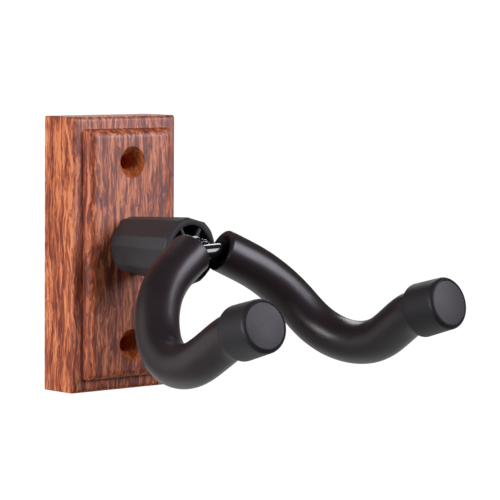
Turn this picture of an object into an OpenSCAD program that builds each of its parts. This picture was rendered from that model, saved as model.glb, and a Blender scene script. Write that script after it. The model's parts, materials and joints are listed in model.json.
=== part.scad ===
// Wall guitar hanger: a wooden wall block that carries a swivelling, padded yoke.
// The origin is the middle of the block's back face, halfway between the two screw holes.
// +X is to the right, +Y points into the wall and +Z is up, so the hanger reaches out along -Y.
// Millimetres.

/* [Wall block] */
// Height of the wall block
block_h = 120; // [112:1:140]
// Width of the wall block
block_w = 58; // [54:1:70]
// Thickness of the block at its flat border
border_t = 20; // [18:0.5:24]
// Width of the flat border around the raised panel
border_w = 5.6; // [4:0.1:8]
// Radius of the block's rounded front edges
arris_r = 2; // [1:0.1:3]
// Radius of the block's four corners, seen from the front
corner_r = 0.8; // [0.5:0.1:3]
// Straight lip at the foot of the routed moulding
moulding_foot = 1.2; // [0.5:0.1:2]
// Radius of the moulding's quarter round, up to the raised panel
moulding_r = 3.8; // [2.5:0.1:5]

/* [Screw holes] */
// Distance between the upper and the lower screw hole
screw_spacing = 80; // [74:1:90]
// Diameter of each screw hole
screw_hole_d = 7; // [5:0.1:7.5]
// Diameter of each countersink at the panel's face
countersink_d = 13.7; // [11:0.1:15]
// Depth of each countersink
countersink_depth = 4.2; // [3:0.1:6]

/* [Swivel] */
// Height of the swivel axis above the block's middle
swivel_z = 3.6; // [0:0.1:8]
// Diameter of the swivel stud
stud_d = 8; // [7:0.5:9]
// Radial running clearance around the stud
running_gap = 0.06; // [0.02:0.01:0.1]
// Depth of the recess in the block's back that holds the nut
recess_depth = 13; // [12:0.5:14]
// Diameter of that recess
recess_d = 22; // [20:0.5:24]

/* [Collar] */
// Distance of the collar's open front end from the wall
collar_front = 64.5; // [60:0.5:66]
// Distance from the collar's axis to a flat, at its back end
collar_back_r = 12.1; // [11:0.1:14]
// Distance from the collar's axis to a flat, at its front end
collar_front_r = 13.8; // [13:0.1:15.5]
// Wall thickness of the collar at its front end
collar_wall = 2.6; // [2:0.1:3]
// Angle that the collar's six corners are turned by, from the upright
collar_turn = -15; // [-30:1:30]
// Thickness of the collar's inner ribs
rib_t = 1.6; // [1:0.1:2.5]
// Angle that the ribs are turned by, from the middles of the six narrow flats
rib_turn = 12; // [0:1:30]
// How far the ribs stop short of the open end
rib_setback = 0.8; // [0.5:0.1:2]
// How far the inner tube stops short of the open end
tube_setback = 3.5; // [2.5:0.1:5]

/* [Yoke] */
// Angle that the yoke is swung from level at rest, seen from the front
yoke_swing = -1.7; // [-5:0.1:5]
// Diameter of the bent steel rod
rod_d = 7; // [6:0.1:7.5]
// Outer diameter of the padded sleeves
sleeve_d = 18.5; // [16:0.1:19]
// How far each sleeve's mouth reaches past the crown's bend, towards the middle
mouth_lead = 1; // [0.5:0.1:3]
// Diameter of the sleeves' flared bore at the mouth
mouth_d = 13; // [12.4:0.1:14]
// Outer diameter of the end caps at their mouths
cap_mouth_d = 23; // [22.5:0.1:24]
// Outer diameter of the end caps at their closed ends
cap_tip_d = 22; // [21:0.1:23]
// Length of the end caps
cap_len = 17.8; // [15:0.1:20]
// Thickness of the end caps' closed ends
cap_end_t = 3; // [2:0.1:4]

/* [Hidden] */
// Corners of the right arm's centre line, from the crown to the tip
arm_corners = [
    [9.2, -74.4, swivel_z],
    [34, -80.5, -9.4],
    [52.8, -105.8, -48],
    [50, -146, -21.3],
    [51.3, -168.2, -15.1]
];
// Bend radii at those corners
arm_bend_r = [10, 51, 30, 12];
mouth_depth = 7;
bar_sides = 28;
bend_step = 7;
side_hint = [1, 0.6, 0];
round_fn = 64;
small_fn = 48;
fit_gap = 0.05;
overlap = 1;
arc_steps = 6;
lip_r = 1.6;
rim_r = 1.9;
panel_raise = moulding_foot + moulding_r;
panel_y = -(border_t + panel_raise);
stud_r = stud_d / 2;
rod_r = rod_d / 2;
eps = 0.01;

// Collar
collar_len = collar_front + panel_y;
collar_flare = atan((collar_front_r - collar_back_r) / collar_len);
corner_cut = 1.048;
collar_chamfer = 1.4;
collar_floor_t = 3;
inner_tube_r = 7;
rib_gap = 0.4;

// Positions along the swivel axis, as distances from the wall
tube_front = collar_front - tube_setback;
washer_t = 1;
shoulder_t = 5;
shoulder_r = 6.8;
shoulder_front = tube_front + washer_t + shoulder_t;
flat_washer_t = 1.6;
spring_washer_t = 1.4;
nut_h = 8;
nut_front = recess_depth - flat_washer_t - spring_washer_t;
nut_back = nut_front - nut_h;
stud_past_nut = 0.9;
stud_back = nut_back - stud_past_nut;
stud_top = 71.4;
flat_washer_r = 9;

// Lock nut, its insert and the stud's thread
nut_hex_h = 5.8;
nut_flats = 13;
nut_crown_r = 5.9;
nut_chamfer_r = 6.6;
nut_mouth_r = 4.7;
insert_lip = 0.4;
insert_r = 5.1;
insert_h = 1.6;
thread_pitch = 1.25;
thread_depth = 0.6;
thread_turns = 11;

// Weld between the rod and the stud
weld_foot_r = stud_r + 2.2;
weld_top_r = stud_r + 0.6;
weld_h = 5.4;

// ---- Helpers ----

function unit(v) = v / norm(v);
function mirrored(p) = [-p[0], p[1], p[2]];
function turn_at(pts, i) = acos(unit(pts[i] - pts[i - 1]) * unit(pts[i + 1] - pts[i]));

// Turns the children's +Z axis to the direction d and sets them at p
module along(p, d) {
    translate(p)
        rotate([0, acos(unit(d)[2]), atan2(d[1], d[0])])
            children();
}

// Stations [place, heading] along straight runs joined by round bends
function stations(pts, radii) = concat(
    [[pts[0], unit(pts[1] - pts[0])]],
    [for (i = [1:len(pts) - 2]) each bend_stations(pts, i, radii[i - 1])],
    [[pts[len(pts) - 1], unit(pts[len(pts) - 1] - pts[len(pts) - 2])]]
);

// Stations round the bend at corner i of a path, evenly spaced
function bend_stations(pts, i, bend_r) =
    let (
        into = unit(pts[i] - pts[i - 1]),
        away = unit(pts[i + 1] - pts[i]),
        turn = turn_at(pts, i),
        middle = pts[i] + unit(away - into) * bend_r / cos(turn / 2),
        spoke = unit(pts[i] - into * bend_r * tan(turn / 2) - middle),
        steps = ceil(turn / bend_step)
    )
    [
        for (k = [0:steps])
            let (a = turn * k / steps)
            [
                middle + (spoke * cos(a) + into * sin(a)) * bend_r,
                into * cos(a) - spoke * sin(a)
            ]
    ];

// One round of points with radius r about a station
function round_at(station, r) =
    let (
        u = unit(cross(station[1], side_hint)),
        v = cross(station[1], u)
    )
    [
        for (k = [0:bar_sides - 1])
            let (a = 360 * k / bar_sides)
            station[0] + (u * cos(a) + v * sin(a)) * r
    ];

// Two triangles between neighbouring points of two rounds, whose first points are a and b
function band(a, b, k) =
    let (n = (k + 1) % bar_sides)
    [[a + k, b + k, b + n], [a + k, b + n, a + n]];

// Solid bar of radius r that follows the stations
module bar_along(path, r) {
    last = (len(path) - 1) * bar_sides;
    polyhedron(
        points = [for (s = path) each round_at(s, r)],
        faces = concat(
            [for (a = [0:bar_sides:last - 1], k = [0:bar_sides - 1]) each band(a, a + bar_sides, k)],
            [[for (k = [0:bar_sides - 1]) k]],
            [[for (k = [bar_sides - 1:-1:0]) last + k]]
        ),
        convexity = 8
    );
}

// Tube that follows the stations, whose bore narrows from mouth_r to inner_r between the first two
module tube_along(path, outer_r, inner_r, mouth_r) {
    last = (len(path) - 1) * bar_sides;
    inner = last + bar_sides;
    polyhedron(
        points = concat(
            [for (s = path) each round_at(s, outer_r)],
            [for (i = [0:len(path) - 1]) each round_at(path[i], i == 0 ? mouth_r : inner_r)]
        ),
        faces = concat(
            [for (a = [0:bar_sides:last - 1], k = [0:bar_sides - 1]) each band(a, a + bar_sides, k)],
            [
                for (a = [inner:bar_sides:inner + last - 1], k = [0:bar_sides - 1])
                    each band(a + bar_sides, a, k)
            ],
            [for (k = [0:bar_sides - 1]) each band(inner, 0, k)],
            [for (k = [0:bar_sides - 1]) each band(last, inner + last, k)]
        ),
        convexity = 8
    );
}

// The crown's straight run, for trimming what is welded to it
module crown_bar(r) {
    swung()
        translate(arm_corners[0])
            rotate([0, -90, 0])
                cylinder(r = r, h = 2 * arm_corners[0][0], $fn = small_fn);
}

// Places children on the swivel axis: their +Z points out from the wall, from the distance d
module on_swivel(d) {
    translate([0, -d, swivel_z])
        rotate([90, 0, 0])
            children();
}

// Swings children about the swivel axis with the yoke
module swung() {
    translate([0, 0, swivel_z])
        rotate([0, yoke_swing, 0])
            translate([0, 0, -swivel_z])
                children();
}

module ring(outer_r, inner_r, h) {
    difference() {
        cylinder(r = outer_r, h = h, $fn = round_fn);
        translate([0, 0, -overlap])
            cylinder(r = inner_r, h = h + 2 * overlap, $fn = round_fn);
    }
}

// ---- Wall block ----

// A slab's cross-section, w wide and t deep, with its two front corners rounded
module slab_section(w, t, r) {
    translate([-w / 2, -(t - r)])
        square([w, t - r]);
    translate([-w / 2 + r, -t])
        square([w - 2 * r, t]);
    for (side = [-1, 1])
        translate([side * (w / 2 - r), -(t - r)])
            circle(r = r, $fn = small_fn);
}

// The routed moulding's cross-section: foot, quarter round and raised panel
module panel_section(w) {
    foot_w = w - 2 * border_w;
    panel_w = foot_w - 2 * moulding_r;
    foot_y = -(border_t + moulding_foot);
    translate([-foot_w / 2, foot_y])
        square([foot_w, moulding_foot + overlap]);
    translate([-panel_w / 2, panel_y])
        square([panel_w, moulding_r + overlap]);
    for (side = [-1, 1])
        translate([side * panel_w / 2, foot_y])
            circle(r = moulding_r, $fn = small_fn);
}

// Crosses a cross-section w wide with one h high, so that the moulding is mitred
module mitred(w, h) {
    intersection() {
        linear_extrude(height = h, center = true)
            block_section(w);
        rotate([0, 90, 0])
            linear_extrude(height = w, center = true)
                block_section(h);
    }
}

module block_section(w) {
    slab_section(w, border_t, arris_r);
    panel_section(w);
}

module corner_rounding() {
    inner_w = block_w - 2 * corner_r;
    inner_h = block_h - 2 * corner_r;
    depth = border_t + panel_raise + 2 * overlap;
    translate([0, overlap, 0])
        rotate([90, 0, 0])
            linear_extrude(height = depth) {
                square([inner_w, block_h], center = true);
                square([block_w, inner_h], center = true);
                for (x = [-1, 1], z = [-1, 1])
                    translate([x * inner_w / 2, z * inner_h / 2])
                        circle(r = corner_r, $fn = small_fn);
            }
}

module screw_hole(z) {
    slope = (countersink_d - screw_hole_d) / countersink_depth;
    translate([0, overlap, z])
        rotate([90, 0, 0])
            cylinder(d = screw_hole_d, h = 2 * overlap - panel_y, $fn = round_fn);
    translate([0, panel_y - overlap, z])
        rotate([-90, 0, 0])
            cylinder(
                d1 = countersink_d + slope * overlap, d2 = screw_hole_d,
                h = countersink_depth + overlap, $fn = round_fn
            );
}

module wood_base() {
    color("#8a4a2c")
        difference() {
            intersection() {
                mitred(block_w, block_h);
                corner_rounding();
            }
            for (side = [-1, 1])
                screw_hole(side * screw_spacing / 2);
            on_swivel(-overlap)
                cylinder(r = stud_r + running_gap, h = 2 * overlap - panel_y, $fn = round_fn);
            on_swivel(-overlap)
                cylinder(d = recess_d, h = recess_depth + overlap, $fn = round_fn);
        }
}

// ---- Collar: a flared six-sided spacer with cut corners, ribbed inside ----

// Six planar cuts, flat_r from the axis at the back end, leaning out along the collar
module flared_cuts(flat_r, turn) {
    cut_w = 40;
    for (i = [0:5])
        rotate([0, 0, turn + 60 * i])
            translate([flat_r, 0, 0])
                rotate([0, collar_flare, 0])
                    translate([0, -cut_w / 2, -cut_w / 4])
                        cube([cut_w, cut_w, collar_len + cut_w / 2]);
}

module collar() {
    flat_turn = 120 - collar_turn;
    blank_r = collar_front_r + 3;
    cavity_back = collar_back_r - collar_wall;
    cavity_front = collar_front_r - collar_wall;
    color("#26272a")
        on_swivel(-panel_y)
            difference() {
                cylinder(r = blank_r, h = collar_len, $fn = round_fn);
                flared_cuts(collar_back_r, flat_turn);
                flared_cuts(collar_back_r * corner_cut, flat_turn + 30);
                collar_front_chamfer();
                collar_back_chamfer();
                difference() {
                    translate([0, 0, collar_floor_t])
                        cylinder(
                            r1 = cavity_back, r2 = cavity_front,
                            h = collar_len - collar_floor_t + eps, $fn = round_fn
                        );
                    cylinder(r = inner_tube_r, h = collar_len - tube_setback, $fn = round_fn);
                    collar_ribs(flat_turn + 30 + rib_turn);
                }
                translate([0, 0, -overlap])
                    cylinder(r = stud_r + running_gap, h = collar_len, $fn = round_fn);
            }
}

// Cone that bevels the corners of the collar's open end
module collar_front_chamfer() {
    rim_inset = 0.4;
    end_r = collar_front_r - rim_inset;
    difference() {
        translate([0, 0, collar_len - collar_chamfer])
            cylinder(r = collar_front_r + 5, h = collar_chamfer + overlap, $fn = round_fn);
        translate([0, 0, collar_len - collar_chamfer - overlap])
            cylinder(
                r1 = end_r + collar_chamfer + overlap, r2 = end_r - overlap,
                h = collar_chamfer + 2 * overlap, $fn = round_fn
            );
    }
}

// The same, much smaller, at the end that stands on the panel
module collar_back_chamfer() {
    rim_inset = 0.2;
    end_r = collar_back_r - rim_inset;
    difference() {
        translate([0, 0, -overlap])
            cylinder(r = collar_back_r + 3, h = collar_chamfer + overlap, $fn = round_fn);
        translate([0, 0, -overlap])
            cylinder(
                r1 = end_r - overlap, r2 = end_r + collar_chamfer,
                h = collar_chamfer + overlap, $fn = round_fn
            );
    }
}

// Ribs, cut back over the inner tube so that they clear the stud's shoulder
module collar_ribs(turn) {
    for (i = [0:5])
        rotate([0, 0, turn + 60 * i]) {
            translate([inner_tube_r - overlap, -rib_t / 2, 0])
                cube([collar_front_r, rib_t, collar_len - tube_setback]);
            translate([inner_tube_r + rib_gap, -rib_t / 2, 0])
                cube([collar_front_r, rib_t, collar_len - rib_setback]);
        }
}

// ---- Swivel hardware ----

module thrust_washer() {
    color("#1d1d1f")
        on_swivel(tube_front)
            ring(shoulder_r, stud_r + running_gap, washer_t);
}

module flat_washer() {
    color("#c2c4c8")
        on_swivel(recess_depth - flat_washer_t)
            ring(flat_washer_r, stud_r + running_gap, flat_washer_t);
}

// Dished spring washer, with its rim on the flat washer and its crown under the nut
module spring_washer() {
    inner_r = stud_r + 0.2;
    outer_r = 8;
    sheet_t = 0.7;
    color("#8f8a80")
        on_swivel(nut_front)
            rotate_extrude($fn = round_fn)
                polygon([
                    [inner_r, 0],
                    [inner_r, sheet_t],
                    [outer_r, spring_washer_t],
                    [outer_r, spring_washer_t - sheet_t]
                ]);
}

// Hexagon chamfered at both ends, with a round crown at the back that grips the insert
module lock_nut() {
    chamfered_r = nut_chamfer_r + nut_hex_h;
    color("#b9bcc2")
        on_swivel(nut_back)
            difference() {
                union() {
                    cylinder(r = nut_crown_r, h = nut_h - nut_hex_h + overlap, $fn = round_fn);
                    translate([0, 0, nut_h - nut_hex_h])
                        intersection() {
                            cylinder(r = nut_flats / sqrt(3), h = nut_hex_h, $fn = 6);
                            cylinder(r1 = nut_chamfer_r, r2 = chamfered_r, h = nut_hex_h, $fn = round_fn);
                            cylinder(r1 = chamfered_r, r2 = nut_chamfer_r, h = nut_hex_h, $fn = round_fn);
                        }
                }
                translate([0, 0, -overlap])
                    cylinder(r = stud_r + fit_gap, h = nut_h + 2 * overlap, $fn = round_fn);
                translate([0, 0, -overlap])
                    cylinder(r = nut_mouth_r, h = insert_lip + 2 * overlap, $fn = round_fn);
                translate([0, 0, insert_lip])
                    cylinder(r = insert_r + fit_gap, h = insert_h + fit_gap, $fn = round_fn);
            }
}

module lock_nut_insert() {
    color("#2c62b8")
        on_swivel(nut_back + insert_lip)
            ring(insert_r, stud_r + fit_gap, insert_h);
}

// Shank with a turned thread at the wall end and a shoulder under the rod
module swivel_stud() {
    thread_len = thread_pitch * thread_turns;
    color("#1a1b1d")
        difference() {
            union() {
                on_swivel(stud_back)
                    stud_thread();
                on_swivel(stud_back + thread_len)
                    cylinder(r = stud_r, h = shoulder_front - stud_back - thread_len, $fn = round_fn);
                on_swivel(tube_front + washer_t)
                    cylinder(r = shoulder_r, h = shoulder_t, $fn = round_fn);
                on_swivel(shoulder_front - overlap)
                    cylinder(r = stud_r, h = stud_top - shoulder_front + overlap, $fn = round_fn);
            }
            crown_bar(rod_r + fit_gap);
        }
}

// V-grooves, one for each turn of the thread
module stud_thread() {
    rotate_extrude($fn = round_fn)
        polygon(concat(
            [[0, 0]],
            [
                for (i = [0:thread_turns - 1])
                    each [
                        [stud_r - thread_depth, i * thread_pitch],
                        [stud_r, (i + 0.5) * thread_pitch]
                    ]
            ],
            [
                [stud_r - thread_depth, thread_turns * thread_pitch],
                [stud_r, (thread_turns + 0.5) * thread_pitch],
                [0, (thread_turns + 0.5) * thread_pitch]
            ]
        ));
}

// ---- Yoke ----

arm_dir = unit(arm_corners[4] - arm_corners[3]);
arm_tip = arm_corners[4];
rod_tip = arm_tip - arm_dir * (cap_end_t + 1);
sleeve_tip = arm_tip - arm_dir * (cap_end_t + fit_gap);

// Both arms' corners as one path, from the left tip over the crown to the right tip
right_corners = [arm_corners[0], arm_corners[1], arm_corners[2], arm_corners[3], rod_tip];
yoke_path = concat(
    [for (i = [4:-1:0]) mirrored(right_corners[i])],
    right_corners
);
yoke_radii = concat([for (i = [3:-1:0]) arm_bend_r[i]], arm_bend_r);

// Right sleeve's centre line, from its mouth at the crown to just inside the cap
crown_away = unit(arm_corners[1] - arm_corners[0]);
sleeve_start = arm_corners[0] - crown_away * mouth_lead;
mouth_end = sleeve_start + crown_away * mouth_depth;
sleeve_path = [mouth_end, arm_corners[1], arm_corners[2], arm_corners[3], sleeve_tip];
sleeve_radii = [arm_bend_r[1], arm_bend_r[2], arm_bend_r[3]];
sleeve_stations = concat([[sleeve_start, crown_away]], stations(sleeve_path, sleeve_radii));

module yoke_rod() {
    color("#141416")
        swung()
            bar_along(stations(yoke_path, yoke_radii), rod_r);
}

// Ring of weld where the rod meets the stud
module hub_weld() {
    color("#1c1c1e")
        difference() {
            on_swivel(shoulder_front)
                cylinder(r1 = weld_foot_r, r2 = weld_top_r, h = weld_h, $fn = round_fn);
            on_swivel(shoulder_front - overlap)
                cylinder(r = stud_r, h = weld_h + 2 * overlap, $fn = round_fn);
            crown_bar(rod_r);
        }
}

module padded_sleeve() {
    color("#2b2422")
        tube_along(sleeve_stations, sleeve_d / 2, rod_r + fit_gap, mouth_d / 2);
}

// Points of an arc about a centre, from one angle to another
function arc(centre, r, from, to) = [
    for (k = [0:arc_steps])
        let (a = from + (to - from) * k / arc_steps)
        centre + r * [cos(a), sin(a)]
];

// Tapered cap with rounded ends, opening towards the arm
module end_cap() {
    mouth_r = cap_mouth_d / 2;
    tip_r = cap_tip_d / 2;
    bore_r = sleeve_d / 2 + fit_gap;
    taper = atan((mouth_r - tip_r) / cap_len);
    lip_x = mouth_r - lip_r * (sin(taper) + 1) / cos(taper);
    rim_x = tip_r - rim_r * (1 - sin(taper)) / cos(taper);
    color("#303033")
        along(arm_tip - arm_dir * cap_len, arm_dir)
            rotate_extrude($fn = round_fn)
                polygon(concat(
                    [[bore_r, 0]],
                    arc([lip_x, lip_r], lip_r, -90, taper),
                    arc([rim_x, cap_len - rim_r], rim_r, taper, 90),
                    [[0, cap_len], [0, cap_len - cap_end_t], [bore_r, cap_len - cap_end_t]]
                ));
}

module sleeve_right() {
    swung()
        padded_sleeve();
}

module sleeve_left() {
    swung()
        mirror([1, 0, 0])
            padded_sleeve();
}

module cap_right() {
    swung()
        end_cap();
}

module cap_left() {
    swung()
        mirror([1, 0, 0])
            end_cap();
}

wood_base();
collar();
thrust_washer();
flat_washer();
spring_washer();
lock_nut();
lock_nut_insert();
swivel_stud();
yoke_rod();
hub_weld();
sleeve_left();
sleeve_right();
cap_left();
cap_right();
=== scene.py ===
"""Looks of the wall guitar hanger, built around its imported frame; shapes are in millimetres."""

import json
import math

import bmesh
import bpy
import numpy as np
from mathutils import Matrix, Vector, noise

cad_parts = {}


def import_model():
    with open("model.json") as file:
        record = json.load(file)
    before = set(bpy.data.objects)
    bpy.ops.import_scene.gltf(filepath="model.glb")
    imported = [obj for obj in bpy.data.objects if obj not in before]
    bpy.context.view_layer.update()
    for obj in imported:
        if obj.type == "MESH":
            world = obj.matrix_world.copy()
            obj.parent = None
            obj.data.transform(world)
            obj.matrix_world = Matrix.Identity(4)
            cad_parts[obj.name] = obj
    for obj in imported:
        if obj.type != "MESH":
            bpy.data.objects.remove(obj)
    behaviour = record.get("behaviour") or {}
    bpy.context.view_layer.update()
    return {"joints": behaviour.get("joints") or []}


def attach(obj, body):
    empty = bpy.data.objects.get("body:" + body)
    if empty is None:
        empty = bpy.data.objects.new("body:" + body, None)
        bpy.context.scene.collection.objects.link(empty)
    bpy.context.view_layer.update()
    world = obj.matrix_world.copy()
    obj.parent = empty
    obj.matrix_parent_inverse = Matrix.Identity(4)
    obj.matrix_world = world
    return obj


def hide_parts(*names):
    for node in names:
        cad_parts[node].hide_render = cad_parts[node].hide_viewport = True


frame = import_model()

MM = 0.001

# ---- Sizes of the frame's parts, in millimetres and degrees ----

BLOCK_W, BLOCK_H = 58.0, 120.0
BORDER_T, PANEL_T = 20.0, 25.0
BORDER_W = 5.6
ARRIS_R, CORNER_R = 2.0, 0.8
MOULDING_FOOT, MOULDING_R = 1.2, 3.8
SCREW_Z = 40.0
SCREW_R, COUNTERSINK_R, COUNTERSINK_DEPTH = 3.5, 6.85, 4.2
SWIVEL_Z = frame["joints"][0]["pos_m"][2] / MM
STUD_R, BORE_R = 4.0, 4.06
RECESS_R, RECESS_DEPTH = 11.0, 13.0

COLLAR_FRONT = 64.5
COLLAR_LEN = COLLAR_FRONT - PANEL_T
COLLAR_BACK_R, COLLAR_FRONT_R, COLLAR_WALL = 12.1, 13.8, 2.6
CORNER_CUT = 1.048
COLLAR_TURN = 135.0
COLLAR_FLOOR = 3.0
FLAT_HOLLOW, RIM_CUT = 0.28, 0.4
RIB_T, RIB_SETBACK, RIB_TURN, RIB_GAP = 1.6, 0.8, 12.0, 0.4
INNER_TUBE_R, TUBE_SETBACK = 7.0, 3.5

NUT_BACK, NUT_H, NUT_HEX_H, NUT_FLATS = 2.0, 8.0, 5.8, 13.0
SPRING_FROM, FLAT_FROM = 10.0, 11.4
THRUST_FROM, SHOULDER_FROM, SHOULDER_TO = 61.0, 62.0, 67.0
SHOULDER_R = 6.8
STUD_TOP = 71.4

# Corners of the right arm from the crown to the tip, the bends' radii, and how far the yoke is swung at rest.
ARM = np.array(
    [
        (9.2, -74.4, SWIVEL_Z),
        (34.0, -80.5, -9.4),
        (52.8, -105.8, -48.0),
        (50.0, -146.0, -21.3),
        (51.3, -168.2, -15.1),
    ]
)
BENDS = [10.0, 51.0, 30.0, 12.0]
SWING = -1.7
ROD_R, SLEEVE_R = 3.5, 9.25
CAP_MOUTH_R, CAP_TIP_R = 11.5, 11.0
MOUTH_LEAD, MOUTH_R, MOUTH_DEPTH = 1.0, 6.5, 7.0
CAP_LEN, CAP_END = 17.8, 3.0
SLIP = 0.05  # clearance inside a sleeve, a cap or the nut

# ---- Geometry helpers ----


def unit(v):
    return v / np.linalg.norm(v)


def around(count):
    """Angles spread evenly over a full turn."""
    return np.arange(count) * 2 * math.pi / count


def rounded(points, radii, step=6.0, closed=False):
    """The polyline with each corner turned into an arc; radii has one radius per point."""
    pts = [np.asarray(p, float) for p in points]
    count = len(pts)
    out = [] if closed else [pts[0]]
    for i in range(count) if closed else range(1, count - 1):
        before, here, after = pts[i - 1], pts[i], pts[(i + 1) % count]
        into, away = unit(here - before), unit(after - here)
        turn = math.acos(float(np.clip(into @ away, -1, 1)))
        r = radii[i]
        if r <= 0 or turn < 1e-3:
            out.append(here)
            continue
        middle = here + unit(away - into) * r / math.cos(turn / 2)
        spoke = unit(here - into * r * math.tan(turn / 2) - middle)
        steps = max(2, math.ceil(math.degrees(turn) / step))
        for k in range(steps + 1):
            a = turn * k / steps
            out.append(middle + (spoke * math.cos(a) + into * math.sin(a)) * r)
    if not closed:
        out.append(pts[-1])
    return np.array(out)


def filleted(profile, radii, step, closed=False):
    """A profile of (radius or inset, distance) pairs with rounded corners."""
    return rounded([(across, along, 0) for across, along in profile], radii, step, closed)[:, :2]


def resampled(path, spacing):
    """Evenly spaced points along a polyline."""
    lengths = np.concatenate([[0], np.cumsum(np.linalg.norm(np.diff(path, axis=0), axis=1))])
    count = max(2, round(lengths[-1] / spacing))
    at = np.linspace(0, lengths[-1], count + 1)
    return np.stack([np.interp(at, lengths, path[:, k]) for k in range(3)], 1)


def eased(path, spacing, reach):
    """The path with its curvature eased over the distance reach; its ends stay in place."""
    pts = resampled(path, spacing)
    half = max(1, int(3 * reach / spacing))
    kernel = np.exp(-0.5 * (np.arange(-half, half + 1) * spacing / reach) ** 2)
    kernel /= kernel.sum()
    before = 2 * pts[0] - pts[half:0:-1]
    after = 2 * pts[-1] - pts[-2 : -half - 2 : -1]
    longer = np.concatenate([before, pts, after])
    return np.stack([np.convolve(longer[:, k], kernel, "valid") for k in range(3)], 1)


class Rail:
    """A path with a frame that doesn't twist, read by distance along it."""

    def __init__(self, path):
        self.points = path
        steps = np.linalg.norm(np.diff(path, axis=0), axis=1)
        self.at = np.concatenate([[0], np.cumsum(steps)])
        self.length = self.at[-1]
        self.heading = np.gradient(path, axis=0)
        self.heading /= np.linalg.norm(self.heading, axis=1)[:, None]
        side = unit(np.cross(self.heading[0], [0.3, 0.2, 1.0]))
        sides = [side]
        for h in self.heading[1:]:
            side = unit(side - h * (side @ h))
            sides.append(side)
        self.side = np.array(sides)

    def read(self, s):
        """Place, side and up at distance s, which may lie a little beyond either end."""
        inside = min(max(s, 0.0), self.length)
        p, h, u = (
            np.array([np.interp(inside, self.at, a[:, k]) for k in range(3)])
            for a in (self.points, self.heading, self.side)
        )
        h = unit(h)
        u = unit(u - h * (u @ h))
        return p + h * (s - inside), u, np.cross(h, u)

    def ring(self, s, r, count):
        """Points round the path at distance s."""
        p, u, v = self.read(s)
        a = around(count)[:, None]
        return p + np.cos(a) * u * r + np.sin(a) * v * r


def swung(points):
    """Points of the yoke, swung about the swivel axis as it hangs at rest."""
    a = math.radians(SWING)
    p = np.array(points, float)
    x, z = p[..., 0].copy(), p[..., 2] - SWIVEL_Z
    p[..., 0] = x * math.cos(a) + z * math.sin(a)
    p[..., 2] = -x * math.sin(a) + z * math.cos(a) + SWIVEL_Z
    return p


def mirrored(points):
    """The same places on the left arm."""
    return np.array(points, float) * (-1, 1, 1)


def linked(name, data):
    """A new object in the scene."""
    ob = bpy.data.objects.new(name, data)
    bpy.context.scene.collection.objects.link(ob)
    return ob


def mesh_object(name, verts, faces, sharp=35.0):
    """A new object from points in millimetres; edges sharper than the angle stay sharp."""
    me = bpy.data.meshes.new(name)
    me.from_pydata([tuple(v) for v in np.asarray(verts, float) * MM], [], faces)
    bm = bmesh.new()
    bm.from_mesh(me)
    bmesh.ops.remove_doubles(bm, verts=bm.verts, dist=1e-7)
    bmesh.ops.dissolve_degenerate(bm, edges=bm.edges, dist=1e-8)
    bmesh.ops.recalc_face_normals(bm, faces=bm.faces)
    bm.to_mesh(me)
    bm.free()
    ob = linked(name, me)
    smoothed(ob, sharp)
    return ob


def smoothed(ob, sharp):
    """Smooth shading, apart from edges sharper than the angle."""
    ob.data.polygons.foreach_set("use_smooth", [True] * len(ob.data.polygons))
    ob.data.set_sharp_from_angle(angle=math.radians(sharp))
    ob.data.update()


def loft(rings, looped=False):
    """Points and faces that join rings of equal count; open ends are closed by flat faces."""
    rings = np.asarray(rings, float)
    rows, count = rings.shape[:2]
    faces = []
    for i in range(rows if looped else rows - 1):
        a, b = i * count, ((i + 1) % rows) * count
        for k in range(count):
            n = (k + 1) % count
            faces.append((a + k, b + k, b + n, a + n))
    if not looped:
        faces.append(tuple(range(count)))
        faces.append(tuple(range((rows - 1) * count, rows * count))[::-1])
    return rings.reshape(-1, 3), faces


def joined(parts):
    """Several (points, faces) as one."""
    verts, faces, base = [], [], 0
    for v, f in parts:
        verts.append(np.asarray(v, float))
        faces += [tuple(base + k for k in face) for face in f]
        base += len(v)
    return np.concatenate(verts), faces


def on_axis(r, along, angle):
    """Places round the swivel axis: radius r, distance along from the wall, angle from +X towards +Z."""
    r, along, angle = np.broadcast_arrays(r, along, angle)
    return np.stack([r * np.cos(angle), -along, SWIVEL_Z + r * np.sin(angle)], -1)


def turned(profile, count=96, z=None):
    """Rings round the swivel axis, or one parallel to it at height z, from (radius, distance) pairs."""
    rings = np.array([on_axis(r, y, around(count)) for r, y in profile])
    if z is not None:
        rings[..., 2] += z - SWIVEL_Z
    return rings


def boolean(ob, other, operation):
    """Cuts the other object from the first or joins the two; the other one is used up."""
    mod = ob.modifiers.new("boolean", "BOOLEAN")
    mod.operation, mod.solver, mod.object = operation, "EXACT", other
    made = bpy.data.meshes.new_from_object(ob.evaluated_get(bpy.context.evaluated_depsgraph_get()))
    ob.modifiers.clear()
    ob.data = made
    bpy.data.objects.remove(other)


def ripple(p, scale, seed=0.0):
    """Smooth noise between -1 and 1 at a point, scale waves a millimetre."""
    return noise.noise(Vector((p[0] * scale + seed, p[1] * scale, p[2] * scale)))


def place(ob, body, slot, node, *materials):
    """Gives a piece its materials and lets it ride on a body in place of a node of the frame; the slot is not
    used.
    """
    ob.data.materials.clear()
    for m in materials:
        ob.data.materials.append(m)
    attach(ob, body)
    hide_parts(node)


# ---- Material helpers ----


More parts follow.
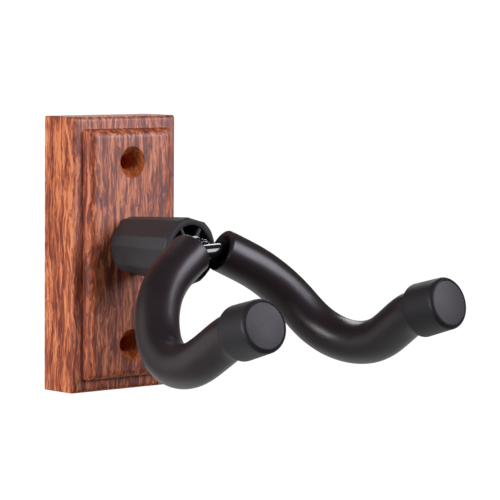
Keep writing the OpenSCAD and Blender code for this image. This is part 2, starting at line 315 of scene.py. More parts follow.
class Shader:
    """A Principled material under construction."""

    def __init__(self, name):
        self.material = bpy.data.materials.new(name)
        self.material.use_nodes = True
        self.tree = self.material.node_tree
        self.bsdf = self.tree.nodes["Principled BSDF"]
        self.coords = self.node("ShaderNodeTexCoord").outputs["Object"]

    def node(self, kind, inputs=None, **settings):
        """A new node; each input is given a value or linked to a socket."""
        n = self.tree.nodes.new(kind)
        for k, v in settings.items():
            setattr(n, k, v)
        for k, v in (inputs or {}).items():
            self.put(n.inputs[k], v)
        return n

    def put(self, socket, value):
        if isinstance(value, bpy.types.NodeSocket):
            self.tree.links.new(value, socket)
        else:
            socket.default_value = value

    def set(self, **values):
        """Inputs of the Principled node, with underscores for spaces."""
        for k, v in values.items():
            self.put(self.bsdf.inputs[k.replace("_", " ")], v)

    def stretched(self, x, y, z, base=None, offset=(0, 0, 0)):
        """Coordinates in millimetres times a factor on each axis."""
        factor = (x * 1000, y * 1000, z * 1000) if base is None else (x, y, z)
        vector = self.coords if base is None else base
        inputs = {"Vector": vector, "Scale": factor, "Location": offset}
        return self.node("ShaderNodeMapping", inputs).outputs["Vector"]

    def noise(self, vector, detail, rough=0.5, out="Fac"):
        inputs = {"Vector": vector, "Scale": 1.0, "Detail": detail, "Roughness": rough}
        return self.node("ShaderNodeTexNoise", inputs).outputs[out]

    def math(self, operation, a, b=0.0):
        return self.node("ShaderNodeMath", {0: a, 1: b}, operation=operation).outputs[0]

    def vector(self, operation, a, b):
        return self.node("ShaderNodeVectorMath", {0: a, 1: b}, operation=operation).outputs[0]

    def times(self, a, b):
        return self.math("MULTIPLY", a, b)

    def span(self, value, lo, hi, to_lo=0.0, to_hi=1.0):
        """The value carried from one range to another, and held at its ends."""
        inputs = {"Value": value, "From Min": lo, "From Max": hi, "To Min": to_lo, "To Max": to_hi}
        return self.node("ShaderNodeMapRange", inputs).outputs[0]

    def ramp(self, value, stops):
        n = self.node("ShaderNodeValToRGB", {"Fac": value})
        elements = n.color_ramp.elements
        while len(elements) < len(stops):
            elements.new(0.5)
        for e, (at, rgb) in zip(elements, stops):
            e.position = at
            e.color = (*rgb, 1)
        return n.outputs["Color"]

    def mix(self, factor, color, rgb):
        inputs = {"Factor": factor, 6: color, 7: (*rgb, 1)}
        return self.node("ShaderNodeMix", inputs, data_type="RGBA").outputs[2]

    def bump(self, height, distance, normal=None):
        inputs = {"Height": height, "Distance": distance * MM}
        if normal is not None:
            inputs["Normal"] = normal
        return self.node("ShaderNodeBump", inputs).outputs["Normal"]


def plain(name, rgb, rough, grain, depth, spread=0.12, metallic=0.0, specular=0.5, coat=0.0, scratch=0.0):
    """Moulded or coated surface: slight patches of tone and gloss, fine bumps of grain waves a millimetre."""
    s = Shader(name)
    patches = s.noise(s.stretched(0.12, 0.12, 0.12), detail=3)
    fine = s.noise(s.stretched(grain, grain, grain), detail=2, rough=0.6)
    low = tuple(c * (1 - spread) for c in rgb)
    high = tuple(min(1.0, c * (1 + spread)) for c in rgb)
    gloss = s.math("ADD", patches, s.times(fine, 0.35))
    s.set(
        Base_Color=s.ramp(patches, [(0.35, low), (0.65, high)]),
        Roughness=s.span(gloss, 0.4, 1.0, rough * 0.92, rough * 1.1),
        Metallic=metallic,
        Specular_IOR_Level=specular,
        Coat_Weight=coat,
        Coat_Roughness=0.05,
    )
    normal = s.bump(fine, depth)
    if scratch:
        lines = s.noise(s.stretched(0.4, 14, 0.4), detail=3, rough=0.7)
        normal = s.bump(lines, scratch, normal=normal)
    s.set(Normal=normal)
    return s.material


def tone_with_painted_shade(s, tone, x, y, z):
    """The grain's tone: lighter near the wall, with painted shade darker towards the right edge and at the
    moulding's foot along the top and sides.
    """
    tone = s.math("ADD", tone, s.span(y, -5.0, -1.5, 0.0, 0.16))
    # painted shade: darker towards the right edge
    tone = s.math("SUBTRACT", tone, s.span(x, 20.0, 24.5, 0.0, 0.19))
    # painted shade: darker at the moulding's foot along the top and sides, in the recess that the border
    # shades
    from_side = s.math("SUBTRACT", BLOCK_W / 2, s.math("ABSOLUTE", x))
    from_top = s.math("SUBTRACT", BLOCK_H / 2, z)
    inset = s.math("MINIMUM", from_side, from_top)
    off_foot = s.math("ABSOLUTE", s.math("SUBTRACT", inset, BORDER_W + 0.3))
    low = s.span(y, -(BORDER_T + 3.2), -(BORDER_T + 1.4))
    tone = s.math("SUBTRACT", tone, s.times(s.span(off_foot, 0.3, 1.3, 0.24, 0.0), low))
    return s.math("MAXIMUM", tone, 0.04)


def wood(name, raw=False):
    """Rosewood with upright grain: bands, wavy streaks, flecks and hairlines; raw in the holes and behind,
    with painted light deep in the holes.
    """
    s = Shader(name)
    mm = s.stretched(1, 1, 1)

    def wander(across, along, by, seed):
        """A sideways shift of up to half the distance by."""
        field = s.noise(s.stretched(across, across, along, offset=(seed, 3, 1)), detail=2, out="Color")
        return s.vector("MULTIPLY", s.vector("SUBTRACT", field, (0.5, 0.5, 0.5)), (by, by, 0))

    warp = s.vector("ADD", wander(0.05, 0.018, 9, 5), wander(0.16, 0.055, 3.4, 7))
    warp = s.vector("ADD", warp, wander(0.28, 0.11, 2.7, 12))
    grain = s.vector("ADD", mm, warp)

    def fibres(across, along, offset=(0, 0, 0), rough=0.5):
        return s.noise(s.stretched(across, across, along, base=grain, offset=offset), detail=2, rough=rough)

    def hairlines(across, along, seed, width):
        """One along thin wavy lines, nought between them."""
        away = s.math("ABSOLUTE", s.math("SUBTRACT", fibres(across, along, (seed, 2, 8)), 0.5))
        return s.span(away, 0.0, width, 1.0, 0.0)

    bands = fibres(0.20, 0.006, (3, 9, 4), 0.6)
    streaks = fibres(0.58, 0.030)
    flecks = fibres(0.95, 0.055, (11, 5, 2), 0.55)
    tone = s.math("ADD", s.span(bands, 0.32, 0.68, 0.0, 0.16), s.span(streaks, 0.36, 0.64, 0.0, 0.42))
    tone = s.math("ADD", tone, s.span(flecks, 0.36, 0.64, 0.0, 0.40))
    tone = s.math("ADD", tone, s.times(hairlines(0.55, 0.045, 21, 0.045), 0.16))
    tone = s.math("SUBTRACT", tone, s.times(hairlines(0.42, 0.03, 33, 0.030), 0.26))
    tone = s.span(tone, 0.22, 0.80, 0.06, 0.93)
    relief = s.math("ADD", streaks, s.times(flecks, 0.6))
    x, y, z = s.node("ShaderNodeSeparateXYZ", {0: mm}).outputs
    if raw:
        sunk = COUNTERSINK_DEPTH - PANEL_T
        # painted light: deep in the holes the raw wood turns a brighter, flat orange that stands for light
        # bounced in
        in_hole = s.times(s.span(y, sunk - 0.1, sunk + 0.3), s.span(y, -3.0, -0.5, 1.0, 0.0))
        tone = s.times(tone, s.math("SUBTRACT", 0.9, s.times(in_hole, 0.4)))
        stops = [(0.0, (0.26, 0.060, 0.015)), (0.5, (0.43, 0.108, 0.027)), (1.0, (0.66, 0.20, 0.058))]
        color = s.mix(s.times(in_hole, 0.85), s.ramp(tone, stops), (0.54, 0.15, 0.036))
        s.set(Base_Color=color, Roughness=0.8, Specular_IOR_Level=0.2, Normal=s.bump(relief, 0.25))
        return s.material
    # painted shade at the moulding's foot and towards the right edge
    tone = tone_with_painted_shade(s, tone, x, y, z)
    stops = [
        (0.0, (0.140, 0.022, 0.006)),
        (0.25, (0.25, 0.044, 0.013)),
        (0.5, (0.43, 0.092, 0.026)),
        (0.78, (0.68, 0.188, 0.062)),
        (1.0, (0.86, 0.32, 0.130)),
    ]
    normal = s.node("ShaderNodeTexCoord").outputs["Normal"]
    facing = s.node("ShaderNodeSeparateXYZ", {0: normal}).outputs[1]
    s.set(
        Base_Color=s.ramp(tone, stops),
        Roughness=s.span(tone, 0, 1, 0.56, 0.50),
        Specular_IOR_Level=s.span(facing, -0.75, -1.0, 0.5, 1.05),
        Normal=s.bump(relief, 0.16),
    )
    return s.material


ROSEWOOD = wood("rosewood")
RAW_WOOD = wood("raw_wood", raw=True)
COLLAR_PLASTIC = plain("collar_plastic", (0.034, 0.034, 0.037), 0.5, 5.0, 0.03)
BLACK_NYLON = plain("black_nylon", (0.05, 0.05, 0.052), 0.45, 6.0, 0.01)
ZINC = plain("zinc_steel", (0.60, 0.61, 0.63), 0.32, 9.0, 0.012, metallic=1.0, scratch=0.01)
SPRING_STEEL = plain("spring_steel", (0.33, 0.31, 0.29), 0.38, 9.0, 0.012, metallic=1.0)
BLUE_NYLON = plain("blue_nylon", (0.03, 0.10, 0.42), 0.4, 6.0, 0.01)
GLOSS_BLACK = plain("black_steel", (0.010, 0.010, 0.011), 0.16, 2.5, 0.006, coat=0.6)
SLEEVE = plain("sleeve_rubber", (0.023, 0.0152, 0.0175), 0.335, 4.0, 0.012, spread=0.06)
CAP = plain("cap_rubber", (0.018, 0.0165, 0.0190), 0.50, 1.2, 0.07, spread=0.12, specular=0.38)


# ---- Wall block ----


def block_ring(inset, y, corner):
    """The block's outline with round corners, moved in by inset; always the same count of points."""
    half_w, half_h = BLOCK_W / 2 - inset, BLOCK_H / 2 - inset
    arc_steps, side_steps = 6, 20
    arcs = []
    for quarter, (sx, sz) in enumerate(((1, 1), (-1, 1), (-1, -1), (1, -1))):
        a = np.radians(90 * quarter + np.linspace(0, 90, arc_steps + 1))
        x = sx * (half_w - corner) + corner * np.cos(a)
        z = sz * (half_h - corner) + corner * np.sin(a)
        arcs.append(np.stack([x, z], 1))
    flat = []
    for arc, following in zip(arcs, arcs[1:] + arcs[:1]):
        flat.append(arc)
        t = np.linspace(0, 1, side_steps + 1)[1:-1, None]
        flat.append(arc[-1] * (1 - t) + following[0] * t)
    flat = np.concatenate(flat)
    return np.stack([flat[:, 0], np.full(len(flat), y), flat[:, 1]], 1)


def moulding_profile():
    """Routed edge from border to panel as (inset, distance from the wall): a foot and a quarter round."""
    foot = BORDER_T + MOULDING_FOOT
    quarter = [
        (BORDER_W + MOULDING_R * (1 - math.cos(a)), foot + MOULDING_R * math.sin(a))
        for a in np.radians(np.linspace(0, 90, 15))
    ]
    before = [(BORDER_W - 1.2, BORDER_T), (BORDER_W, BORDER_T)]
    after = (BORDER_W + MOULDING_R + 2, PANEL_T)
    return filleted([*before, *quarter, after], [0, 0.5] + [0] * 16, step=15)


def block_rings():
    """Outlines of the block from the wall to the panel, faintly uneven as sanded wood is."""
    rings = [block_ring(0.15, 0, CORNER_R - 0.1), block_ring(0, -0.15, CORNER_R)]
    rings += [block_ring(0, -t, CORNER_R) for t in np.linspace(4, BORDER_T - ARRIS_R - 2, 5)]
    for a in np.radians(np.linspace(0, 90, 8)):
        depth = BORDER_T - ARRIS_R + ARRIS_R * math.sin(a)
        rings.append(block_ring(ARRIS_R * (1 - math.cos(a)), -depth, CORNER_R + 0.4 * a))
    rings += [block_ring(inset, -y, 1.2 - 0.04 * inset) for inset, y in moulding_profile()]
    rings = np.array(rings)
    for ring in rings:
        for p in ring:
            wave = ripple(p, 0.11) * 0.05 + ripple(p, 0.45, 9) * 0.025
            p[0] -= math.copysign(abs(wave), p[0])
            p[2] -= math.copysign(abs(wave), p[2])
    return rings


def screw_cutter(z):
    """A screw hole with its countersink, softened where they meet and at both mouths."""
    sunk, mouth_r = PANEL_T - COUNTERSINK_DEPTH, COUNTERSINK_R + 0.22
    profile = [
        (0, -1),
        (SCREW_R + 0.3, -1),
        (SCREW_R + 0.3, 0),
        (SCREW_R, 0.3),
        (SCREW_R, sunk - 0.15),
        (SCREW_R + 0.12, sunk + 0.1),
        (COUNTERSINK_R - 0.05, PANEL_T - 0.12),
        (mouth_r, PANEL_T + 0.05),
        (mouth_r, PANEL_T + 1),
        (0, PANEL_T + 1),
    ]
    return loft(turned(filleted(profile, [0, 0, 0, 0, 0, 0.3, 0.2, 0, 0, 0], step=20), 72, z))


def bore_cutter():
    """The stud's bore and the recess behind it for the nut."""
    profile = [(0, -1), (RECESS_R + 0.3, -1), (RECESS_R + 0.3, 0), (RECESS_R, 0.3), (RECESS_R, RECESS_DEPTH)]
    profile += [(BORE_R, RECESS_DEPTH), (BORE_R, PANEL_T + 1), (0, PANEL_T + 1)]
    return loft(turned(profile, 96))


def wall_block():
    ob = mesh_object("wall_block_wood", *loft(block_rings()))
    cutter = mesh_object("cutter", *joined([screw_cutter(SCREW_Z), screw_cutter(-SCREW_Z), bore_cutter()]))
    boolean(ob, cutter, "DIFFERENCE")
    smoothed(ob, 30)
    place(ob, "wall_block", "rosewood", "wood_base", ROSEWOOD, RAW_WOOD)
    for face in ob.data.polygons:
        x, y, z = face.center / MM
        in_screw_hole = math.hypot(x, abs(z) - SCREW_Z) < COUNTERSINK_R + 0.3
        in_hole = in_screw_hole or math.hypot(x, z - SWIVEL_Z) < RECESS_R + 0.4
        cut = in_hole and (abs(face.normal.y) < 0.99 or -PANEL_T + 0.4 < y < -0.1)
        faces_wall = face.normal.y > 0.5
        face.material_index = int(cut or faces_wall)


# ---- Collar ----


def collar_outline(angle, z):
    """Outer radius, z from the panel: six barely hollow flats, six narrow flat ones and bevelled ends."""
    flare = (COLLAR_FRONT_R - COLLAR_BACK_R) / COLLAR_LEN
    sharpness, far = 14.0, 99.0
    limits = []
    for i in range(12):
        narrow = i % 2
        back = COLLAR_BACK_R * (CORNER_CUT if narrow else 1.0)
        off = np.cos(angle - math.radians(COLLAR_TURN + 30 * i))
        dip = np.clip(np.cos(4 * np.arccos(np.clip(off, -1, 1))), 0, 1) * (off > 0.9)
        hollow = 0.0 if narrow else FLAT_HOLLOW * dip
        limits.append(np.where(off > 0.5, (back + flare * z) / np.maximum(off, 0.5) - hollow, far))
    limits.append(np.full_like(angle, COLLAR_FRONT_R - RIM_CUT + (COLLAR_LEN - z)))
    limits.append(np.full_like(angle, COLLAR_BACK_R - 0.2 + z))
    stack = np.array(limits)
    least = stack.min(0)
    return least - np.log(np.exp(-sharpness * (stack - least)).sum(0)) / sharpness


def collar_shell():
    """Outside, rim, cavity, inner tube and bore of the collar as one looped surface."""
    angle = around(288)
    cavity = [COLLAR_BACK_R - COLLAR_WALL, COLLAR_FRONT_R - COLLAR_WALL]
    tube_top = COLLAR_LEN - TUBE_SETBACK
    rows = []

    def row(r, z):
        rows.append(on_axis(r, PANEL_T + z, angle))

    def cavity_r(z):
        return cavity[0] + (cavity[1] - cavity[0]) * (z - COLLAR_FLOOR) / (COLLAR_LEN - COLLAR_FLOOR)

    for z in (0.0, 0.1, 0.3, 0.7, 1.2, *np.linspace(2, COLLAR_LEN - 2, 16)):
        row(collar_outline(angle, z), z)
    for short in (1.4, 1.1, 0.8, 0.5, 0.25):
        row(collar_outline(angle, COLLAR_LEN - short), COLLAR_LEN - short)
    front = collar_outline(angle, COLLAR_LEN - 0.1)
    row(front - 0.02, COLLAR_LEN - 0.1)
    row(front - 0.16, COLLAR_LEN)
    row(cavity[1] + 0.18, COLLAR_LEN)
    row(cavity[1] + 0.04, COLLAR_LEN - 0.08)
    row(cavity[1], COLLAR_LEN - 0.25)
    for z in np.linspace(COLLAR_LEN - 3, COLLAR_FLOOR + 0.6, 6):
        row(cavity_r(z), z)
    row(cavity_r(COLLAR_FLOOR) - 0.6, COLLAR_FLOOR)
    row(INNER_TUBE_R + 0.5, COLLAR_FLOOR)
    row(INNER_TUBE_R, COLLAR_FLOOR + 0.5)
    row(INNER_TUBE_R, tube_top - 0.3)
    row(INNER_TUBE_R - 0.1, tube_top - 0.08)
    row(INNER_TUBE_R - 0.3, tube_top)
    row(BORE_R + 0.3, tube_top)
    row(BORE_R, tube_top - 0.3)
    row(BORE_R, 0.3)
    row(BORE_R + 0.3, 0.0)
    return mesh_object("spacer_collar", *loft(rows, looped=True))


def collar_ribs():
    """Six ribs from the inner tube to the shell, stepped to clear the shoulder, with soft front edges."""
    tube_top = PANEL_T + COLLAR_LEN - TUBE_SETBACK - 0.05
    rib_top = PANEL_T + COLLAR_LEN - RIB_SETBACK
    foot = PANEL_T + COLLAR_FLOOR - 0.5
    inner, step_r = INNER_TUBE_R - 1.0, INNER_TUBE_R + RIB_GAP
    outer_foot, outer_top = COLLAR_BACK_R - COLLAR_WALL + 1.0, COLLAR_FRONT_R - COLLAR_WALL + 0.7
    parts = []
    for i in range(6):
        a = math.radians(COLLAR_TURN + 30 + RIB_TURN + 60 * i)
        out = np.array([math.cos(a), math.sin(a)])
        across = np.array([-math.sin(a), math.cos(a)])
        rings = []
        for side, drop in ((-0.5, 0.35), (-0.44, 0.1), (-0.28, 0.0), (0.28, 0.0), (0.44, 0.1), (0.5, 0.35)):
            shape = [(inner, foot), (outer_foot, foot), (outer_top, rib_top - drop)]
            shape += [(step_r, rib_top - drop), (step_r, tube_top - drop), (inner, tube_top - drop)]
            flat = [out * r + across * side * RIB_T for r, _ in shape]
            rings.append([(q[0], -y, SWIVEL_Z + q[1]) for q, (_, y) in zip(flat, shape)])
        parts.append(loft(rings))
    return mesh_object("ribs", *joined(parts))


def collar():
    ob = collar_shell()
    boolean(ob, collar_ribs(), "UNION")
    smoothed(ob, 32)
    place(ob, "wall_block", "collar_plastic", "collar", COLLAR_PLASTIC)


# ---- Swivel hardware ----


def disc(name, corners, fillet):
    """A ring round the swivel axis from the four corners of its section."""
    profile = filleted(corners, [fillet] * 4, step=30, closed=True)
    return mesh_object(name, *loft(turned(profile, 80), looped=True), sharp=50)


def washer(name, inner, outer, start, end, fillet):
    return disc(name, [(inner, start), (outer, start), (outer, end), (inner, end)], fillet)


def washers():
    """The thrust ring in the collar and the two washers in the recess."""
    ob = washer("thrust_ring", BORE_R, SHOULDER_R, THRUST_FROM, SHOULDER_FROM, 0.2)
    place(ob, "wall_block", "black_nylon", "thrust_washer", BLACK_NYLON)
    ob = washer("plated_washer", BORE_R, 9.0, FLAT_FROM, RECESS_DEPTH, 0.25)
    place(ob, "wall_block", "zinc_steel", "flat_washer", ZINC)
    inner, outer, sheet = STUD_R + 0.2, 8.0, 0.7
    low, high = SPRING_FROM, FLAT_FROM
    dish = [(inner, low), (inner, low + sheet), (outer, high), (outer, high - sheet)]
    ob = disc("dished_spring_washer", dish, 0.18)
    place(ob, "wall_block", "spring_steel", "spring_washer", SPRING_STEEL)


def lock_nut():
    """Hexagon with chamfered corners and a plain bore, a rolled crown and the nylon ring inside it."""
    angle = around(144)
    hexagon = NUT_FLATS / 2 / np.cos((angle + math.pi / 6) % (math.pi / 3) - math.pi / 6)
    crown_h = NUT_H - NUT_HEX_H
    lip_r, seat_r, seat_from, seat_to = 4.75, 5.15, 0.4, 2.05
    rows = []

    def row(r, z):
        rows.append(on_axis(r, NUT_BACK + z, angle))

    row(lip_r, 0.05)
    row(4.95, 0.0)
    for a in np.radians(np.linspace(0, 90, 5)):
        row(5.2 + 0.7 * math.sin(a), 0.7 * (1 - math.cos(a)))
    row(5.9, crown_h - 0.1)
    row(6.0, crown_h)
    for z in (0.0, 0.15, 0.35, 0.6, 0.9, 1.2, 2.4, *(NUT_HEX_H - np.array([1.2, 0.9, 0.6, 0.3, 0.0]))):
        cone = 6.6 + min(z, NUT_HEX_H - z)
        row(np.minimum(hexagon, cone), crown_h + z)
    row(4.6, NUT_H)
    row(STUD_R + SLIP, NUT_H - 0.5)
    row(STUD_R + SLIP, seat_to)
    row(seat_r, seat_to)
    row(seat_r, seat_from)
    row(lip_r, seat_from)
    ob = mesh_object("lock_nut_body", *loft(rows, looped=True), sharp=25)
    place(ob, "yoke", "zinc_steel", "lock_nut", ZINC)
    ob = washer("nut_insert", STUD_R + SLIP, 5.1, NUT_BACK + 0.4, NUT_BACK + 2.0, 0.15)
    place(ob, "yoke", "blue_nylon", "lock_nut_insert", BLUE_NYLON)


def swivel_stud():
    """Shank with a turned helical thread at the wall end and a shoulder under the rod."""
    angle = around(72)
    start, pitch, depth, turns = 1.1, 1.25, 0.6, 11
    thread_end = start + pitch * turns
    rows = []

    def row(r, y):
        rows.append(on_axis(r, y, angle))

    row(0.0, start)
    row(2.9, start)
    for y in np.arange(start + 0.1, thread_end, pitch / 12):
        phase = ((y - start) / pitch - angle / (2 * math.pi)) % 1
        groove = np.clip(1.15 * (1 - np.abs(phase * 2 - 1)) - 0.08, 0, 1)
        fade = min(1.0, (thread_end - y) / pitch)
        tip = 3.1 + (y - start) * 0.9
        row(np.minimum(STUD_R - depth * groove * fade, tip), y)
    row(STUD_R, thread_end)
    row(STUD_R, SHOULDER_FROM - 0.3)
    row(STUD_R + 0.3, SHOULDER_FROM)
    row(SHOULDER_R - 0.5, SHOULDER_FROM)
    row(SHOULDER_R - 0.14, SHOULDER_FROM + 0.14)
    row(SHOULDER_R, SHOULDER_FROM + 0.5)
    row(SHOULDER_R, SHOULDER_TO - 0.6)
    row(SHOULDER_R - 0.18, SHOULDER_TO - 0.18)
    row(SHOULDER_R - 0.6, SHOULDER_TO)
    row(STUD_R + 0.4, SHOULDER_TO)
    row(STUD_R, SHOULDER_TO + 0.4)
    row(STUD_R, STUD_TOP - 0.5)
    row(STUD_R - 0.5, STUD_TOP)
    row(0.0, STUD_TOP)
    ob = mesh_object("threaded_stud", *loft(rows), sharp=38)
    place(ob, "yoke", "black_steel", "swivel_stud", GLOSS_BLACK)


# ---- Yoke ----


def arm_direction():
    """The way the arm's last straight run points."""
    return unit(ARM[4] - ARM[3])


def rod():
    """The bent rod from tip to tip; returns its line at rest."""
    right = [*ARM[:4], ARM[4] - arm_direction() * (CAP_END + 1)]
    left = [mirrored(p) for p in right[::-1]]
    path = rounded(left + right, [0, *BENDS[::-1], *BENDS, 0], step=3)
    rail = Rail(eased(path, 0.8, 1.0))
    chamfer, margin, spacing = 0.6, 1.6, 1.2
    stops = [(0, 0.0), (0, ROD_R - chamfer), (chamfer, ROD_R)]
    stops += [(s, ROD_R) for s in np.arange(margin, rail.length - margin, spacing)]
    stops += [(rail.length - chamfer, ROD_R), (rail.length, ROD_R - chamfer), (rail.length, 0.0)]
    rings = swung([rail.ring(s, r, 40) for s, r in stops])
    ob = mesh_object("bent_rod", *loft(rings), sharp=40)
    place(ob, "yoke", "black_steel", "yoke_rod", GLOSS_BLACK)
    return swung(rail.points)


def weld(rod_line):
    """A rippled bead round the stud's end, as far out as the rod's back at each angle."""
    bead_r = 1.3
    reach = np.arange(SHOULDER_TO, STUD_TOP + 1.0, 0.1)
    angle, turn = around(120), around(20)
    meets = []
    for a in angle:
        gap = np.linalg.norm(on_axis(STUD_R + 0.4, reach, a)[:, None] - rod_line[None], axis=2).min(1)
        touching = reach[gap < ROD_R + 0.2]
        meets.append(touching[0] if len(touching) else reach[-1])
    meets = np.convolve(np.concatenate([meets[-4:], meets, meets[:4]]), np.ones(9) / 9, "valid") - 0.5
    out = []
    for a, y in zip(angle, meets):
        r = bead_r * (1.0 + 0.09 * math.cos(15 * a) + 0.05 * math.sin(4 * a + 1))
        out.append(on_axis(STUD_R + 0.3 + r * np.cos(turn), y + r * np.sin(turn), a))
    ob = mesh_object("weld_bead", *loft(out, looped=True), sharp=60)
    place(ob, "yoke", "black_steel", "hub_weld", GLOSS_BLACK)


def sleeve_rail():
    """The right sleeve's path, from its mouth at the crown to just short of the cap's end wall."""
    start = ARM[0] - unit(ARM[1] - ARM[0]) * MOUTH_LEAD
    end = ARM[4] - arm_direction() * (CAP_END + SLIP)
    path = rounded([start, *ARM[1:4], end], [0, *BENDS[1:], 0], step=2)
    return Rail(eased(path, 0.8, 3.0))


def sleeve(name, left):
    """Soft tube with rounded edges, a bore that flares at the mouth and a slightly uneven skin."""
    rail = sleeve_rail()
    inner = ROD_R + SLIP
    end = rail.length
    mouth = [(MOUTH_DEPTH, inner + 0.1), (0, MOUTH_R), (0, SLEEVE_R), (4, SLEEVE_R)]
    tip = [(end - 4, SLEEVE_R), (end, SLEEVE_R), (end, inner), (end - 4, inner)]
    stops = [tuple(p) for p in filleted(mouth, [0, 0.5, 0.6, 0], step=12)[1:-1]]
    stops += [(s, SLEEVE_R) for s in np.arange(1.5, end - 1.2, 1.1)]
    stops += [tuple(p) for p in filleted(tip, [0, 0.5, 0.2, 0], step=20)[1:-1]]
    stops += [(s, inner) for s in np.arange(end - 1.2, MOUTH_DEPTH, -2.2)]
    stops.append((MOUTH_DEPTH, inner + 0.1))
    rings = []
    for s, r in stops:
        ring = rail.ring(s, r, 72)
        if r > SLEEVE_R - 0.5:
            p, _, _ = rail.read(s)
            quiet = min(1.0, max(0.0, (end - CAP_LEN - s) / 12))
            for k, q in enumerate(ring):
                uneven = ripple(q, 0.07, 3) * 0.09 + ripple(q, 0.22, 5) * 0.03
                ring[k] = q + (q - p) / r * uneven * quiet
        rings.append(ring)
    rings = np.array(rings)
    rings = swung(mirrored(rings) if left else rings)
    ob = mesh_object(name, *loft(rings, looped=True), sharp=50)
    place(ob, "yoke", "sleeve_rubber", "sleeve_left" if left else "sleeve_right", SLEEVE)


def cap(name, left):
    """Push-on cap: rounded mouth, slight taper, soft rim and a barely domed end."""
    direction = arm_direction()
    base = ARM[4] - direction * CAP_LEN
    inside, bore, dome_h = CAP_LEN - CAP_END, SLEEVE_R + SLIP, 0.9
    end_edge = CAP_LEN - 0.3
    corners = [(0, inside), (bore, inside), (bore, 0), (CAP_MOUTH_R, 0), (CAP_TIP_R, end_edge), (0, CAP_LEN)]
    profile = filleted(corners, [0, 0.6, 0.35, 1.6, 2.2, 0], step=9)
    dense = [profile[0]]
    for a, b in zip(profile, profile[1:]):
        steps = max(1, math.ceil(np.linalg.norm(b - a) / 1.5))
        dense += [a + (b - a) * k / steps for k in range(1, steps + 1)]
    side = unit(np.cross(direction, [0, 0, 1]))
    up = np.cross(side, direction)
    angle = around(96)
    rings = []
    for r, z in dense:
        dome = dome_h * (r / CAP_TIP_R) ** 2 if z > end_edge - 0.01 else 0.0
        spot = base + direction * (z if not dome else CAP_LEN - dome)
        rings.append(spot + r * (np.cos(angle)[:, None] * side + np.sin(angle)[:, None] * up))
    rings = np.array(rings)
    rings = swung(mirrored(rings) if left else rings)
    ob = mesh_object(name, *loft(rings), sharp=40)
    place(ob, "yoke", "cap_rubber", "cap_left" if left else "cap_right", CAP)


wall_block()
collar()
washers()
lock_nut()
swivel_stud()
weld(rod())
sleeve("padded_sleeve_left", True)
sleeve("padded_sleeve_right", False)
cap("end_cap_left", True)
cap("end_cap_right", False)

# ---- Stage, in metres and degrees ----

WHITE = 1.05
CAMERA_AZIMUTH, CAMERA_TILT, CAMERA_ROLL = 41.916, 4.399, 0.395
CAMERA_AT = (-0.81149, -1.00585, 0.09983)
CAMERA_LENS = 210.35
LAMPS_AIM = (0, -0.09, -0.01)


def floor():
    """A wide pale floor well below the hanger: seen from above only, and unlit so that it stays plain."""
    half, depth = 9.0, -0.32
    corners = [(-half, -half, depth), (half, -half, depth), (half, half, depth), (-half, half, depth)]
    me = bpy.data.meshes.new("floor")
    me.from_pydata(corners, [], [(0, 1, 2, 3)])
    ob = linked("floor", me)
    m = bpy.data.materials.new("pale_floor")
    m.use_nodes = True
    t = m.node_tree
    t.nodes.clear()
    pale = t.nodes.new("ShaderNodeEmission")
    pale.inputs["Strength"].default_value = WHITE
    clear = t.nodes.new("ShaderNodeBsdfTransparent")
    mix = t.nodes.new("ShaderNodeMixShader")
    geometry = t.nodes.new("ShaderNodeNewGeometry")
    out = t.nodes.new("ShaderNodeOutputMaterial")
    t.links.new(geometry.outputs["Backfacing"], mix.inputs[0])
    t.links.new(pale.outputs[0], mix.inputs[1])
    t.links.new(clear.outputs[0], mix.inputs[2])
    t.links.new(mix.outputs[0], out.inputs["Surface"])
    me.materials.append(m)
    ob.visible_glossy = ob.visible_diffuse = False


def heading(azimuth, elevation):
    """A direction from degrees: azimuth from +Y towards +X, elevation above level."""
    a, e = math.radians(azimuth), math.radians(elevation)
    return Vector((math.sin(a) * math.cos(e), math.cos(a) * math.cos(e), math.sin(e)))


def softbox(name, azimuth, elevation, distance, size, radiance, color=(1.02, 0.97, 1.03)):
    """A rectangular lamp aimed at the hanger; its light is barely purple."""
    toward = heading(azimuth, elevation)
    data = bpy.data.lights.new(name, "AREA")
    data.shape = "RECTANGLE"
    data.size, data.size_y = size
    data.energy = radiance * math.pi * size[0] * size[1]
    data.color = color
    ob = linked(name, data)
    ob.location = Vector(LAMPS_AIM) + toward * distance
    ob.rotation_euler = (-toward).to_track_quat("-Z", "Y").to_euler()
    ob.visible_camera = False


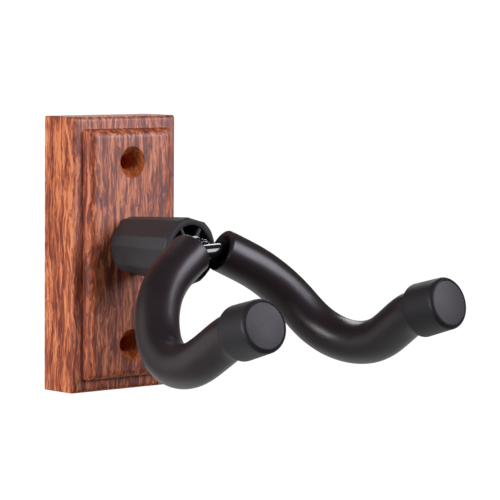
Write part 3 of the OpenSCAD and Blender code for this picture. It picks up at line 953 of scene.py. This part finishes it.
def world():
    """White to the camera; as a light, a dark studio with soft glows."""
    # azimuth, elevation and half-width in degrees, then level
    glows = [(0, 90, 90, 0.05), (40, -35, 60, 0.64), (-45, -60, 55, 0.42), (-46, 8, 42, 0.80)]
    w = bpy.data.worlds.new("studio")
    bpy.context.scene.world = w
    w.use_nodes = True
    t = w.node_tree
    t.nodes.clear()
    coords = t.nodes.new("ShaderNodeTexCoord").outputs["Generated"]
    total = 0.03
    for azimuth, elevation, half_width, level in glows:
        near = t.nodes.new("ShaderNodeVectorMath")
        near.operation = "DOT_PRODUCT"
        near.inputs[1].default_value = heading(azimuth, elevation)
        t.links.new(coords, near.inputs[0])
        glow = t.nodes.new("ShaderNodeMapRange")
        glow.interpolation_type = "SMOOTHSTEP"
        glow.inputs["From Min"].default_value = math.cos(math.radians(half_width))
        glow.inputs["To Max"].default_value = level
        t.links.new(near.outputs["Value"], glow.inputs["Value"])
        added = t.nodes.new("ShaderNodeMath")
        if isinstance(total, float):
            added.inputs[0].default_value = total
        else:
            t.links.new(total, added.inputs[0])
        t.links.new(glow.outputs[0], added.inputs[1])
        total = added.outputs[0]
    light = t.nodes.new("ShaderNodeBackground")
    t.links.new(total, light.inputs["Strength"])
    seen = t.nodes.new("ShaderNodeBackground")
    seen.inputs["Strength"].default_value = WHITE
    for shade in (light, seen):
        shade.inputs["Color"].default_value = (1, 1, 1, 1)
    path = t.nodes.new("ShaderNodeLightPath")
    mix = t.nodes.new("ShaderNodeMixShader")
    out = t.nodes.new("ShaderNodeOutputWorld")
    t.links.new(path.outputs["Is Camera Ray"], mix.inputs[0])
    t.links.new(light.outputs[0], mix.inputs[1])
    t.links.new(seen.outputs[0], mix.inputs[2])
    t.links.new(mix.outputs[0], out.inputs["Surface"])


def camera():
    """Long lens from the front left, a little above the hanger."""
    azimuth, roll = math.radians(CAMERA_AZIMUTH), math.radians(CAMERA_ROLL)
    forward = heading(CAMERA_AZIMUTH, -CAMERA_TILT)
    right = Vector((math.cos(azimuth), -math.sin(azimuth), 0))
    down = forward.cross(right)
    across = right * math.cos(roll) - down * math.sin(roll)
    below = right * math.sin(roll) + down * math.cos(roll)
    data = bpy.data.cameras.new("camera")
    data.sensor_width = 36.0
    data.lens = CAMERA_LENS
    data.clip_start, data.clip_end = 0.05, 50
    ob = linked("camera", data)
    turned_to = Matrix((across, -below, -forward)).transposed().to_4x4()
    ob.matrix_world = Matrix.Translation(CAMERA_AT) @ turned_to
    bpy.context.scene.camera = ob


floor()
world()
softbox("left_key", -92, 6, 1.4, (0.6, 0.65), 12.0)
softbox("front_right", 145, 23, 1.5, (1.05, 0.85), 7.0, (1.0, 0.97, 1.09))
softbox("back_top", 40, 33, 1.6, (0.75, 0.6), 4.0)
camera()
bpy.context.scene.view_settings.view_transform = "Standard"
